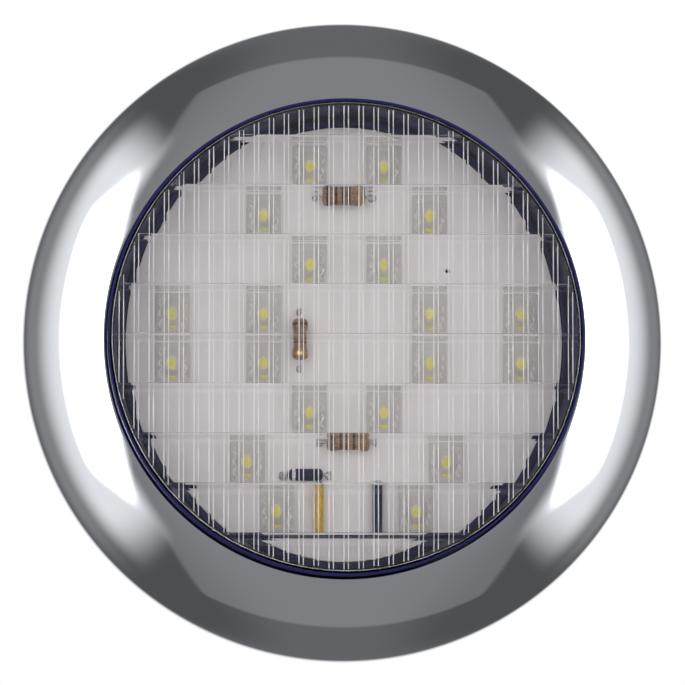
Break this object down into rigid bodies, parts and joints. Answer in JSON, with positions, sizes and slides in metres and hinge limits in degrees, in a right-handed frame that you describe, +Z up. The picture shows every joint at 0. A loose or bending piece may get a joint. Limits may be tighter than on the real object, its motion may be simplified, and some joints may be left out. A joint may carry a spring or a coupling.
{
  "type": "round led trailer lamp",
  "caption": "Round surface-mount LED lamp for a truck or trailer, with a clear fluted lens over a white LED board and a clip-on chrome trim ring that hides its mounting screws.",
  "frame": {"origin": "centre of the lamp on the back face of the foam gasket, the face that lies on the panel", "axes": "+Y into the panel, out of the lamp's back; the lamp shines along -Y; +Z up; +X to the right of a viewer who faces the lamp"},
  "size_m": [0.142, 0.039, 0.142],
  "materials": {
    "chrome_plate": "bright chrome plate on moulded ABS",
    "clear_polycarbonate": "clear polycarbonate, polished outside, fluted inside",
    "navy_plastic": "blue-black moulded ABS, fine texture",
    "foam": "closed-cell foam",
    "silicone": "dark silicone",
    "black_rubber": "moulded rubber",
    "white_board": "white solder mask on glass-fibre board",
    "led_epoxy": "clear epoxy over a yellow phosphor",
    "resistor_body": "brown lacquer with colour bands",
    "diode_body": "black moulded epoxy",
    "yellow_sleeve": "yellow PVC insulation",
    "black_sleeve": "black PVC insulation",
    "stainless": "bright stainless steel"
  },
  "bodies": {
    "lamp": {"foam_gasket": "foam", "lamp_housing": "navy_plastic", "cable_grommet": "black_rubber", "lens_seal": "silicone", "lens": "clear_polycarbonate", "lens_sleeve": "navy_plastic", "circuit_board": "white_board", "led_01": "led_epoxy", "led_02": "led_epoxy", "led_03": "led_epoxy", "led_04": "led_epoxy", "led_05": "led_epoxy", "led_06": "led_epoxy", "led_07": "led_epoxy", "led_08": "led_epoxy", "led_09": "led_epoxy", "led_10": "led_epoxy", "led_11": "led_epoxy", "led_12": "led_epoxy", "led_13": "led_epoxy", "led_14": "led_epoxy", "led_15": "led_epoxy", "led_16": "led_epoxy", "led_17": "led_epoxy", "led_18": "led_epoxy", "led_19": "led_epoxy", "led_20": "led_epoxy", "resistor_1": "resistor_body", "resistor_2": "resistor_body", "resistor_3": "resistor_body", "diode": "diode_body", "lead_yellow": "yellow_sleeve", "lead_black": "black_sleeve", "mount_screw_1": "stainless", "mount_screw_2": "stainless", "mount_screw_3": "stainless", "spring_clip_1": "stainless", "spring_clip_2": "stainless", "spring_clip_3": "stainless"},
    "trim": {"trim_ring": "chrome_plate"}
  },
  "joints": [
    {"name": "trim_ring_pull", "type": "slide", "parent": "lamp", "child": "trim", "axis": [0, -1, 0], "range_m": [0, 0.04]}
  ]
}
